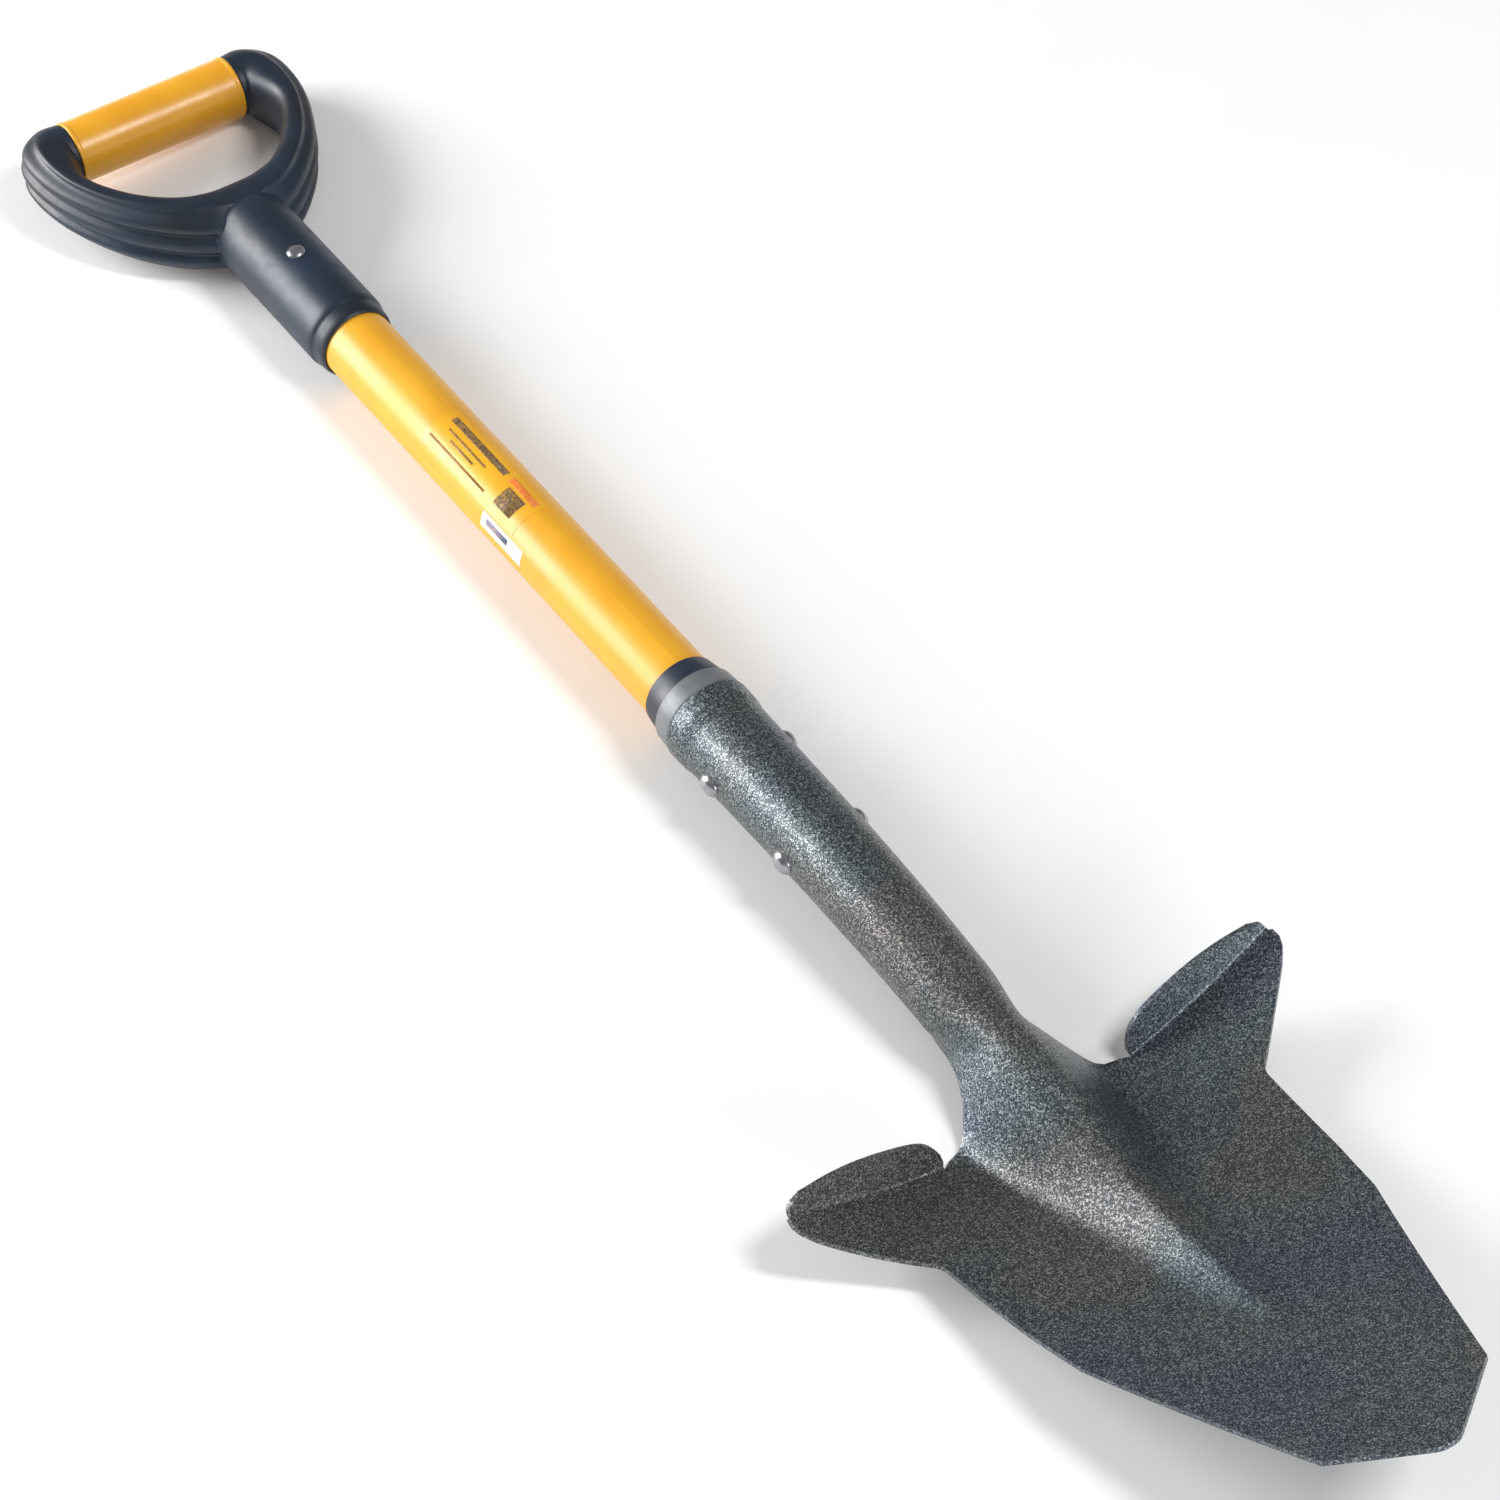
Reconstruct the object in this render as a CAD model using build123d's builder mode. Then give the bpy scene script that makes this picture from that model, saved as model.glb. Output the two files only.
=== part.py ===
"""Spear-head digging spade with a D-grip, lying on its back with the face of the blade up.

Every piece is drawn in the tool's own frame: x runs along the shaft from the grip to the blade's
tip, y runs across the tool and z points out of the front of the blade. That frame is pitched so
that the heel of the blade and the underside of the grip both rest on the ground, and lifted by the
height of the heel. Sizes are in millimetres.
"""
from math import cos, exp, hypot, pi, radians, sin
import os

from build123d import *

# ---------------------------------------------------------------- driving dimensions
# stations along the shaft
GRIP_X = -371.7            # axis of the hand grip
SHANK_END_X = -168.0       # where the yoke's shank ends on the shaft
SHAFT_TOP_X = -238.0       # upper end of the shaft, inside the yoke's shank
COLLAR_X = 113.0           # upper edge of the collar
FERRULE_X = 124.5          # upper edge of the ferrule ring
MOUTH_X = 136.0            # mouth of the steel socket
COLLAR_END_X = 181.0       # hidden lower end of the collar's sleeve
SHAFT_END_X = 246.0        # lower end of the shaft, inside the socket
NECK_X = 240.0             # where the straight socket becomes the neck
HEEL_X = 383.0             # line of the foot treads, where the neck becomes the blade
TIP_X = 658.0              # point of the blade
RIVET_XS = (168.6, 225.0)  # the two rivets through the socket
GRIP_RIVET_X = -222.0      # the rivet through the yoke's shank

# shaft
SHAFT_R = 17.9
SHAFT_BORE_R = 13.4
SHAFT_END_R = 17.0
TAPER_START_X = 150.0
FIT_GAP = 0.05             # gap between pieces that slide together
FERRULE_INSERT_LENGTH = 116.0
GRIP_INSERT_LENGTH = 62.0

# blade head
SHEET = 2.2                # thickness of the steel
SOCKET_SHEET = 2.6         # thickness of the wall of the socket
NECK_SHEET = 3.0           # thickness where the steel is gathered in the neck
MOUTH_R = 20.4             # mid-wall radius of the socket at its mouth
SOCKET_TAPER = 0.0122      # radius lost per millimetre along the socket
WALL_POINTS = 12           # spline points from the crest of the neck to its edge
SEAM_HALF_GAP = 0.8        # half the open seam along the back of the socket
NECK_LAP = 5.0             # how far the neck's thicker steel laps over the blade and the socket
BLADE_Z = -33.7            # height of the blade's centre line at the heel
BLADE_SLOPE = 0.205
BLADE_CURVE = 0.00038
DISH = 0.0021              # how strongly the wings curve forward at the heel
DISH_FADE = 70.0
TREAD_ROOT = 3.5           # how far a tread's root sinks into the wing
TREAD_TURN = 72.0          # degrees that a tread is turned forward from the wing

# collar and ferrule ring
COLLAR_TOP_R = 18.7
COLLAR_BASE_R = 20.3
SLEEVE_R = 18.5
FERRULE_R = 21.7

# rivets
RIVET_R = 3.2
RIVET_HEAD_R = 6.0
RIVET_HEAD_HEIGHT = 4.2
RIVET_SEAT_DEPTH = 0.9
GRIP_RIVET_R = 2.5
GRIP_RIVET_HEAD_R = 4.6
GRIP_RIVET_HEAD_HEIGHT = 2.2
GRIP_RIVET_SEAT = 0.6

# grip
GRIP_TWIST = -4.2          # degrees that the D-grip sits turned about the shaft
GRIP_R = 16.2
GRIP_HALF_LENGTH = 46.9
GRIP_BAR_R = 9.0
GRIP_BAR_WALL = 2.0
GRIP_BAR_SEAT = 9.0        # how far the bar runs into each arm
SHANK_R = 21.3
SHANK_LIP_R = 19.6
SHANK_LIP_X = -177.0

# printed film on the shaft
LABEL_THICKNESS = 0.12
LABEL_X = (-85.0, -5.0)
LABEL_ARC = 78.0
LABEL_TURN = 14.0
STICKER_X = (-28.0, 6.0)
STICKER_ARC = 26.0
STICKER_TURN = 70.0

# resting attitude
REST_PITCH = 0.862         # degrees that brings the heel and the grip's underside level with each other
REST_LIFT = 26.93
REST_SHIFT = -132.92       # puts the origin below the middle of the tool's length

# ---------------------------------------------------------------- the tool's frame
tool = Plane(
    origin=(REST_SHIFT, 0, REST_LIFT),
    x_dir=(cos(radians(REST_PITCH)), 0, sin(radians(REST_PITCH))),
    z_dir=(-sin(radians(REST_PITCH)), 0, cos(radians(REST_PITCH))),
)


def at(x, y, z):
    """A point of the tool's frame in the part's frame."""
    return tool.from_local_coords((x, y, z))


grip = Plane(
    origin=tool.origin,
    x_dir=tool.x_dir,
    z_dir=tool.z_dir * cos(radians(GRIP_TWIST)) - tool.y_dir * sin(radians(GRIP_TWIST)),
)


def across(x, y=0.0, z=0.0):
    """A plane square to the shaft: its x is the tool's y and its y is the tool's z."""
    return Plane(origin=at(x, y, z), x_dir=tool.y_dir, z_dir=tool.x_dir)


def sideways(x, y=0.0, z=0.0):
    """A plane that faces the tool's +y: its x is the tool's z and its y is the tool's x."""
    return Plane(origin=at(x, y, z), x_dir=tool.z_dir, z_dir=tool.y_dir)


def grip_end():
    """The plane through the grip's axis point that faces along the hand grip."""
    return Plane(origin=at(GRIP_X, 0, 0), x_dir=grip.z_dir, z_dir=grip.y_dir)


def frontal(x, y=0.0, z=0.0):
    """A plane that faces out of the front: its x and y are the tool's x and y."""
    return Plane(origin=at(x, y, z), x_dir=tool.x_dir, z_dir=tool.z_dir)


def lengthwise(z=0.0):
    """A plane through the shaft's axis: its x is the tool's x and its y is the tool's z."""
    return Plane(origin=at(0, 0, z), x_dir=tool.x_dir, z_dir=-tool.y_dir)


def save(builder, name):
    builder.part.label = name
    export_step(builder.part, f"parts/{name}.step")


def mix(a, b, t):
    return a + (b - a) * t


def hermite(t, start, end, start_slope, end_slope):
    """Cubic from start to end over t = 0..1, leaving and arriving at the given slopes."""
    return ((2 * t**3 - 3 * t**2 + 1) * start + (t**3 - 2 * t**2 + t) * start_slope
            + (-2 * t**3 + 3 * t**2) * end + (t**3 - t**2) * end_slope)


def smooth(a, b, x):
    """0 below a, 1 above b, with an eased step between."""
    t = min(1.0, max(0.0, (x - a) / (b - a)))
    return t * t * (3 - 2 * t)


def track(x, knots):
    """Smooth curve through (x, value) knots, flat before the first and after the last."""
    xs = [k[0] for k in knots]
    vs = [k[1] for k in knots]
    if x <= xs[0]:
        return vs[0]
    if x >= xs[-1]:
        return vs[-1]
    i = max(k for k in range(len(xs)) if xs[k] <= x)
    first = max(i - 1, 0)
    last = min(i + 2, len(xs) - 1)
    span = xs[i + 1] - xs[i]
    before = (vs[i + 1] - vs[first]) / (xs[i + 1] - xs[first])
    after = (vs[last] - vs[i]) / (xs[last] - xs[i])
    t = (x - xs[i]) / span
    return hermite(t, vs[i], vs[i + 1], span * before, span * after)


os.makedirs("parts", exist_ok=True)

SHAFT_AXIS = Axis(tool.origin, tool.x_dir)


def rivet_seat(x):
    """How far from the shaft's axis the flat under a rivet head lies on the tapered socket."""
    return socket_r(x) + SOCKET_SHEET / 2 - RIVET_SEAT_DEPTH


# ---------------------------------------------------------------- blade head surface
CREST = ((340, 10.5), (360, 8.2), (380, 5.5), (400, 2.4), (420, -1.3), (440, -3.6), (460, -3.4),
         (480, -1.2), (500, 2.0), (520, 5.6), (540, 9.8), (560, 14.8))
FROG_HALF_WIDTH = ((383, 40.0), (440, 31.0), (480, 25.0), (520, 18.0), (562, 10.0))
FROG_PEAK = 1.35           # power of the frog's section below the neck: 2 is round, 1 is a sharp ridge
NECK_DROP = ((240, 0.0), (260, -1.0), (280, -2.6), (300, -4.8), (320, -7.4), (340, -10.3),
             (360, -13.4), (390, -18.0))
EDGE_Y = ((250, 0.8), (275, 3.0), (300, 7.5), (320, 11.5), (340, 15.5), (355, 20.0), (362, 23.0),
          (367, 25.5), (372, 29.2), (377, 33.5), (380, 37.5), (383, 46.0), (388, 52.0))


def plate_z(x, y):
    """Height of the blade's mid sheet without the frog."""
    u = x - HEEL_X
    dish = DISH * exp(-u / DISH_FADE)
    return BLADE_Z + BLADE_SLOPE * u + BLADE_CURVE * u * u + dish * y * y


def blade_z(x, y):
    """Height of the blade's mid sheet with the frog, the raised rib that carries on the neck."""
    rise = max(0.0, track(x, CREST) - plate_z(x, 0)) * (1 - smooth(540, 562, x))
    u = min(1.0, abs(y) / track(x, FROG_HALF_WIDTH))
    roundness = mix(2.0, FROG_PEAK, smooth(390, 470, x))
    return plate_z(x, y) + rise * (1 - u**roundness) ** 2


def socket_r(x):
    return MOUTH_R - SOCKET_TAPER * (x - MOUTH_X)


def neck_section(x, offset):
    """Points across the neck at station x, edge to edge over the crest, offset square to the wall."""
    r = socket_r(x)
    drop = track(x, NECK_DROP)
    edge_y = track(x, EDGE_Y)
    opening = smooth(250, 350, x)
    flare = smooth(325, 376, x)
    lean = radians(mix(180, 90, opening))
    pull = 1.6568 * r * mix(1.0, 0.6, opening)
    edge_z = drop - r * mix(1.0, 0.85, opening)
    wall = []
    for s in steps(0, 1, WALL_POINTS):
        if s < 0.5:
            y, z = r * sin(s * pi), drop + r * cos(s * pi)
        else:
            y = hermite(2 * s - 1, r, edge_y, 0, pull * cos(lean))
            z = hermite(2 * s - 1, drop, edge_z, -pull, -pull * sin(lean))
        wall.append((mix(y, edge_y * s, flare), mix(z, blade_z(x, edge_y * s), flare)))
    points = []
    for i, (y, z) in enumerate(wall):
        ahead = wall[min(i + 1, WALL_POINTS)]
        behind = wall[i - 1] if i else (-wall[1][0], wall[1][1])
        run, fall = ahead[0] - behind[0], ahead[1] - behind[1]
        length = hypot(run, fall)
        points.append((y - offset * fall / length, z + offset * run / length))
    return [(-y, z) for y, z in reversed(points[1:])] + points


def steps(start, end, count):
    return [mix(start, end, i / count) for i in range(count + 1)]


def spline_sheet(point, rows, columns):
    """Smooth face through point(row, column)."""
    grid = [[point(r, c) for c in columns] for r in rows]
    return Face.make_surface_from_array_of_points(grid, tol=0.02)


# ---------------------------------------------------------------- blade head
BLADE_OUTLINE = ((378, 35), (380.2, 38.5), (382.6, 43.5), (383.6, 49.7), (380.5, 125.2), (383.6, 126.8),
                 (387.5, 127.2), (391.5, 125.8), (397.5, 121), (412, 105.6), (432.5, 84), (460, 81.8),
                 (488, 79.2), (517, 75.2), (626.8, 41.3), (TIP_X, 0))
OUTLINE_ROUNDING = ((432.5, 84, 9), (517, 75.2, 25), (626.8, 41.3, 7), (TIP_X, 0, 12), (412, 105.6, 20))

NECK_STATIONS = (NECK_X, 256, 272, 288, 304, 320, 336, 350, 364, 376, 382, HEEL_X + NECK_LAP)
plate_sheet = spline_sheet(lambda x, y: at(x, y, blade_z(x, y)), steps(372, 666, 24), steps(-132, 132, 24))

# the foot treads: flanges turned forward along the shoulders of the wings
tread_start = Vector(383.6, 49.7, -28.6)
tread_end = Vector(380.6, 121.2, -3.2)
TREAD_PROFILE = ((0, 0), (2.5, 8), (7, 12.8), (14, 16.2), (28, 17.8), (45, 17.2), (60, 14), (73, 8.8),
                 (78.2, 1.5))


def tread_plane(side):
    """Plane of one tread: its x follows the bend outward and its y stands up out of the wing."""
    bend = (tread_end - tread_start).normalized()
    middle = (tread_start + tread_end) * 0.5
    wing_normal = Vector(0.013, -2 * DISH * middle.Y, 1).normalized()
    up_wing = bend.cross(wing_normal).normalized()
    up_wing = up_wing if up_wing.X < 0 else up_wing * -1
    turn = radians(TREAD_TURN)
    rise = up_wing * cos(turn) + wing_normal * sin(turn)
    flip = Vector(1, side, 1)
    bend_side = Vector(bend.X, bend.Y * side, bend.Z)
    rise_side = Vector(rise.X, rise.Y * side, rise.Z)
    normal = bend_side.cross(rise_side)
    origin = at(tread_start.X, tread_start.Y * side, tread_start.Z)
    world = [at(*v) - at(0, 0, 0) for v in (bend_side, normal)]
    return Plane(origin=origin, x_dir=world[0], z_dir=world[1])


with BuildPart() as plate:
    extrude(plate_sheet, amount=SHEET / 2, dir=tool.z_dir, both=True)
    with BuildSketch(frontal(0)) as outline:
        with BuildLine():
            Polyline((378, 0), *BLADE_OUTLINE)
            mirror(about=Plane.XZ)
        make_face()
        for x, y, radius in OUTLINE_ROUNDING:
            fillet(outline.vertices().sort_by_distance((x, y))[0], radius)
    extrude(amount=100, both=True, mode=Mode.INTERSECT)

with BuildPart() as neck:
    for station in NECK_STATIONS:
        outer = neck_section(station, NECK_SHEET / 2)
        inner = neck_section(station, -NECK_SHEET / 2)
        with BuildSketch(across(station)):
            with BuildLine():
                Spline(*outer)
                Line(outer[-1], inner[-1])
                Spline(*inner)
                Line(inner[0], outer[0])
            make_face()
    loft()

with BuildPart() as socket:
    with BuildSketch(lengthwise()):
        half_wall = SOCKET_SHEET / 2
        start_r = socket_r(MOUTH_X)
        end_r = socket_r(NECK_X + NECK_LAP)
        Polygon((MOUTH_X, start_r - half_wall), (MOUTH_X, start_r + half_wall),
                (NECK_X + NECK_LAP, end_r + half_wall), (NECK_X + NECK_LAP, end_r - half_wall), align=None)
    revolve(axis=SHAFT_AXIS)
    with BuildSketch(across(MOUTH_X, 0, -MOUTH_R)):
        Rectangle(2 * SEAM_HALF_GAP, 3 * SOCKET_SHEET)
    extrude(amount=NECK_X + NECK_LAP - MOUTH_X, mode=Mode.SUBTRACT)

with BuildPart() as treads:
    for side in (1, -1):
        with BuildSketch(tread_plane(side)):
            with BuildLine():
                top = Spline(*TREAD_PROFILE)
                Polyline(top @ 1, (74, -TREAD_ROOT), (1, -TREAD_ROOT), top @ 0)
            make_face()
        extrude(amount=SHEET / 2, both=True)

with BuildPart() as blade_head:
    add(plate.part)
    add(neck.part)
    add(socket.part)
    add(treads.part)
    # rivet holes and the flats that the rivet heads sit on
    for x in RIVET_XS:
        with BuildSketch(sideways(x)):
            Circle(RIVET_R + FIT_GAP)
        extrude(amount=40, both=True, mode=Mode.SUBTRACT)
        for side in (1, -1):
            with BuildSketch(sideways(x, side * rivet_seat(x))):
                Circle(RIVET_HEAD_R + FIT_GAP)
            extrude(amount=side * 10, mode=Mode.SUBTRACT)
save(blade_head, "blade_head")

# ---------------------------------------------------------------- shaft and what is inside it
with BuildPart() as shaft_tube:
    with BuildSketch(lengthwise()):
        Polygon((SHAFT_TOP_X, SHAFT_BORE_R), (SHAFT_TOP_X, SHAFT_R - 1), (SHAFT_TOP_X + 1, SHAFT_R),
                (TAPER_START_X, SHAFT_R), (SHAFT_END_X, SHAFT_END_R), (SHAFT_END_X, SHAFT_BORE_R), align=None)
    revolve(axis=SHAFT_AXIS)
    for x in RIVET_XS:
        with BuildSketch(sideways(x)):
            Circle(RIVET_R + FIT_GAP)
        extrude(amount=40, both=True, mode=Mode.SUBTRACT)
    with BuildSketch(frontal(GRIP_RIVET_X)):
        Circle(GRIP_RIVET_R + FIT_GAP)
    extrude(amount=40, both=True, mode=Mode.SUBTRACT)
save(shaft_tube, "shaft_tube")

with BuildPart() as ferrule_insert:
    with BuildSketch(across(SHAFT_END_X)):
        Circle(SHAFT_BORE_R - FIT_GAP)
    extrude(amount=-FERRULE_INSERT_LENGTH)
    chamfer(ferrule_insert.edges().filter_by(GeomType.CIRCLE), 1.5)
    for x in RIVET_XS:
        with BuildSketch(sideways(x)):
            Circle(RIVET_R + FIT_GAP)
        extrude(amount=40, both=True, mode=Mode.SUBTRACT)
save(ferrule_insert, "ferrule_insert")

with BuildPart() as grip_insert:
    with BuildSketch(across(SHAFT_TOP_X)):
        Circle(SHAFT_BORE_R - FIT_GAP)
    extrude(amount=GRIP_INSERT_LENGTH)
    chamfer(grip_insert.edges().filter_by(GeomType.CIRCLE), 1.5)
    with BuildSketch(frontal(GRIP_RIVET_X)):
        Circle(GRIP_RIVET_R + FIT_GAP)
    extrude(amount=40, both=True, mode=Mode.SUBTRACT)
save(grip_insert, "grip_insert")

# ---------------------------------------------------------------- collar and ferrule ring
with BuildPart() as socket_collar:
    with BuildSketch(lengthwise()):
        Polygon((COLLAR_X, SHAFT_R + FIT_GAP), (COLLAR_X, COLLAR_TOP_R), (FERRULE_X, COLLAR_BASE_R),
                (FERRULE_X, SLEEVE_R), (COLLAR_END_X, SLEEVE_R - 0.2), (COLLAR_END_X, SHAFT_R + FIT_GAP),
                align=None)
    revolve(axis=SHAFT_AXIS)
    with BuildSketch(sideways(RIVET_XS[0])):
        Circle(RIVET_R + FIT_GAP)
    extrude(amount=40, both=True, mode=Mode.SUBTRACT)
save(socket_collar, "socket_collar")

with BuildPart() as ferrule_ring:
    with BuildSketch(lengthwise()):
        Polygon((FERRULE_X + FIT_GAP, SLEEVE_R + FIT_GAP), (FERRULE_X + FIT_GAP, FERRULE_R - 0.7),
                (FERRULE_X + 1, FERRULE_R), (MOUTH_X - FIT_GAP, FERRULE_R), (MOUTH_X - FIT_GAP, SLEEVE_R + FIT_GAP),
                align=None)
    revolve(axis=SHAFT_AXIS)
save(ferrule_ring, "ferrule_ring")


# ---------------------------------------------------------------- rivets
def through_rivet(x, along, half_length, shank_r, head_r, head_height):
    """A rivet across the shaft's axis at station x, with a domed head at each end."""
    with BuildPart() as rivet:
        with BuildSketch(Plane(origin=at(x, 0, 0), x_dir=tool.x_dir, z_dir=along)):
            Circle(shank_r)
        extrude(amount=half_length + head_height / 2, both=True)
        for side in (1, -1):
            foot = at(x, 0, 0) + along * (side * half_length)
            with BuildSketch(Plane(origin=foot, x_dir=tool.x_dir, z_dir=tool.x_dir.cross(along * side))):
                with BuildLine():
                    Line((0, 0), (0, head_height))
                    ThreePointArc((0, head_height), (head_r * 0.74, head_height * 0.72), (head_r, 0))
                    Line((head_r, 0), (0, 0))
                make_face()
            revolve(axis=Axis(foot, along))
    return rivet


for number, x in enumerate(RIVET_XS, start=1):
    socket_rivet = through_rivet(x, tool.y_dir, rivet_seat(x), RIVET_R, RIVET_HEAD_R, RIVET_HEAD_HEIGHT)
    save(socket_rivet, f"socket_rivet_{number}")

grip_rivet = through_rivet(GRIP_RIVET_X, tool.z_dir, SHANK_R - GRIP_RIVET_SEAT, GRIP_RIVET_R,
                           GRIP_RIVET_HEAD_R, GRIP_RIVET_HEAD_HEIGHT)
save(grip_rivet, "grip_rivet")

# ---------------------------------------------------------------- D-grip
# stations round one arm of the yoke: x, y, heading in degrees from +x, half width, half depth
ARM = ((GRIP_X, GRIP_HALF_LENGTH, 90, GRIP_R, GRIP_R), (-370.3, 53.5, 68, 15.8, GRIP_R),
       (-361.3, 59.3, 28, 13.2, 16.6), (-336, 61.3, -8, 8.4, 17.2), (-308.7, 50.4, -31, 9.6, 18.6),
       (-289, 33.2, -50, 11.0, 20.0), (-279, 16, -70, 14.2, 20.6), (-276, 0, -90, 16.6, 20.6))

with BuildPart() as arm:
    for x, y, heading, half_width, half_depth in ARM:
        ahead = grip.x_dir * cos(radians(heading)) + grip.y_dir * sin(radians(heading))
        with BuildSketch(Plane(origin=grip.from_local_coords((x, y, 0)), x_dir=grip.z_dir, z_dir=ahead)):
            Ellipse(half_depth, half_width)
    loft()

with BuildPart() as grip_yoke:
    add(arm.part)
    mirror(arm.part, about=Plane(origin=grip.origin, x_dir=grip.x_dir, z_dir=-grip.y_dir))
    with BuildSketch(lengthwise()):
        Polygon((-272, 0), (-272, SHANK_R - 1.5), (-262, SHANK_R), (SHANK_LIP_X, SHANK_R),
                (SHANK_END_X - 2, SHANK_LIP_R + 0.5), (SHANK_END_X, SHANK_LIP_R - 0.5), (SHANK_END_X, 0), align=None)
    revolve(axis=SHAFT_AXIS)
    with BuildSketch(across(SHANK_END_X)):
        Circle(SHAFT_R + FIT_GAP)
    extrude(amount=SHAFT_TOP_X - SHANK_END_X, mode=Mode.SUBTRACT)
    # blind holes that hold the ends of the grip bar
    with BuildSketch(grip_end()):
        Circle(GRIP_BAR_R + FIT_GAP)
    extrude(amount=GRIP_HALF_LENGTH + GRIP_BAR_SEAT, both=True, mode=Mode.SUBTRACT)
    with BuildSketch(frontal(GRIP_RIVET_X)):
        Circle(GRIP_RIVET_R + FIT_GAP)
    extrude(amount=40, both=True, mode=Mode.SUBTRACT)
    for side in (1, -1):
        with BuildSketch(frontal(GRIP_RIVET_X, 0, side * (SHANK_R - GRIP_RIVET_SEAT))):
            Circle(GRIP_RIVET_HEAD_R + FIT_GAP)
        extrude(amount=side * 10, mode=Mode.SUBTRACT)
save(grip_yoke, "grip_yoke")

with BuildPart() as grip_bar:
    with BuildSketch(grip_end()):
        Circle(GRIP_BAR_R)
        Circle(GRIP_BAR_R - GRIP_BAR_WALL, mode=Mode.SUBTRACT)
    extrude(amount=GRIP_HALF_LENGTH + GRIP_BAR_SEAT - FIT_GAP, both=True)
save(grip_bar, "grip_bar")

with BuildPart() as grip_sleeve:
    with BuildSketch(grip_end()):
        Circle(GRIP_R)
        Circle(GRIP_BAR_R + FIT_GAP, mode=Mode.SUBTRACT)
    extrude(amount=GRIP_HALF_LENGTH - FIT_GAP, both=True)
    rims = grip_sleeve.edges().filter_by(GeomType.CIRCLE).sort_by(SortBy.RADIUS)[-2:]
    fillet(rims, 0.8)
save(grip_sleeve, "grip_sleeve")


# ---------------------------------------------------------------- printed film on the shaft
def film(name, span, arc, turn):
    """A thin film wrapped on the shaft: its span along x, its arc and its turn from the front."""
    start_x, end_x = span
    with BuildPart() as sheet:
        with BuildSketch(across(start_x)):
            Circle(SHAFT_R + LABEL_THICKNESS)
            Circle(SHAFT_R, mode=Mode.SUBTRACT)
            with BuildLine():
                reach = 3 * SHAFT_R
                start = radians(90 + turn - arc / 2)
                end = radians(90 + turn + arc / 2)
                Polyline((0, 0), (reach * cos(start), reach * sin(start)),
                         (reach * cos((start + end) / 2), reach * sin((start + end) / 2)),
                         (reach * cos(end), reach * sin(end)), (0, 0))
            make_face(mode=Mode.INTERSECT)
        extrude(amount=end_x - start_x)
    save(sheet, name)


film("shaft_label", LABEL_X, LABEL_ARC, LABEL_TURN)
film("shaft_sticker", STICKER_X, STICKER_ARC, STICKER_TURN)
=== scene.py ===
"""Looks for the spear-head digging spade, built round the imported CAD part.

Every piece made here is modelled in the tool's own frame, in millimetres: x runs along the shaft from
the grip to the blade's tip, y runs across the tool and z points out of the front of the blade.
to_world puts that frame where the CAD nodes lie. The shaft's tube and the hidden inner pieces stay the
CAD part's own and only get materials.
"""
from math import atan, cos, exp, pi, radians, sin, sqrt, tan

import bmesh
import bpy
from mathutils import Matrix, Vector


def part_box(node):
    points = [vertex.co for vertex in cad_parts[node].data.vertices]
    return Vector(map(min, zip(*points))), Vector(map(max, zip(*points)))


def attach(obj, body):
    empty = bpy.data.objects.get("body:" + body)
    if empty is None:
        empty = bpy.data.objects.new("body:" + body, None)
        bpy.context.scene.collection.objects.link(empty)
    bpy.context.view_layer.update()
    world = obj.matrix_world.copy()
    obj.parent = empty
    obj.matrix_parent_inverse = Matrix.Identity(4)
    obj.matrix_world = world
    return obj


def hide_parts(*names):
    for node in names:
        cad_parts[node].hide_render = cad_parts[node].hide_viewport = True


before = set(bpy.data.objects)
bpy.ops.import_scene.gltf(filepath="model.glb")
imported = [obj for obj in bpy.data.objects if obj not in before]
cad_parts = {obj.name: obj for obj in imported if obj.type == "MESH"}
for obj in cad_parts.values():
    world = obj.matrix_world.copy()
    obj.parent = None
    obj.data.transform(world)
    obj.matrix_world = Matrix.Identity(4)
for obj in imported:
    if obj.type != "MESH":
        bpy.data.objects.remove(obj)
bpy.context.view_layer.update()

MM = 0.001

# ---------------------------------------------------------------- sizes of the tool, mm
GRIP_X = -371.7
SHANK_END_X = -168.0
SHAFT_TOP_X = -238.0
COLLAR_X = 113.0
FERRULE_X = 124.5
MOUTH_X = 136.0
COLLAR_END_X = 181.0
HEEL_X = 383.0
TIP_X = 658.0
RIVET_XS = (168.6, 225.0)
GRIP_RIVET_X = -222.0

SHAFT_R = 17.9
FIT_GAP = 0.05
SLEEVE_R = 18.5
SHANK_R = 21.3
GRIP_TWIST = -4.2          # degrees that the D-grip sits turned about the shaft
GRIP_R = 16.2
GRIP_HALF_LENGTH = 46.9
GRIP_BAR_R = 9.0
FILM = 0.12

SHEET = 2.4                # thickness of the steel, the same everywhere
MOUTH_R = 20.4             # to the middle of the socket's steel
SOCKET_TAPER = 0.0122
BLADE_Z = -33.7            # height of the sheet without the frog at the heel
BLADE_SLOPE = 0.205
BLADE_CURVE = 0.00038
DISH = 0.0021              # rise of the wings at the heel, for each square mm from the middle
DISH_FADE = 70.0           # distance down the blade over which the dish fades

# ---------------------------------------------------------------- the tool's frame


def middle(node):
    low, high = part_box(node)
    return (low + high) / 2


grip_middle = middle("grip_sleeve")
along = (middle("ferrule_insert") - grip_middle).normalized()
sideways = Vector((0, 1, 0))
front = along.cross(sideways)
tool_origin = grip_middle - along * (GRIP_X * MM)
turn_to_world = Matrix((along, sideways, front)).transposed()


def to_world(x, y, z):
    return tool_origin + turn_to_world @ Vector((x, y, z)) * MM


# ---------------------------------------------------------------- curves
CORNER_STEPS = 6           # steps round a rounded corner


def mix(a, b, t):
    return a + (b - a) * t


def steps(start, end, count):
    return [mix(start, end, i / count) for i in range(count + 1)]


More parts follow.
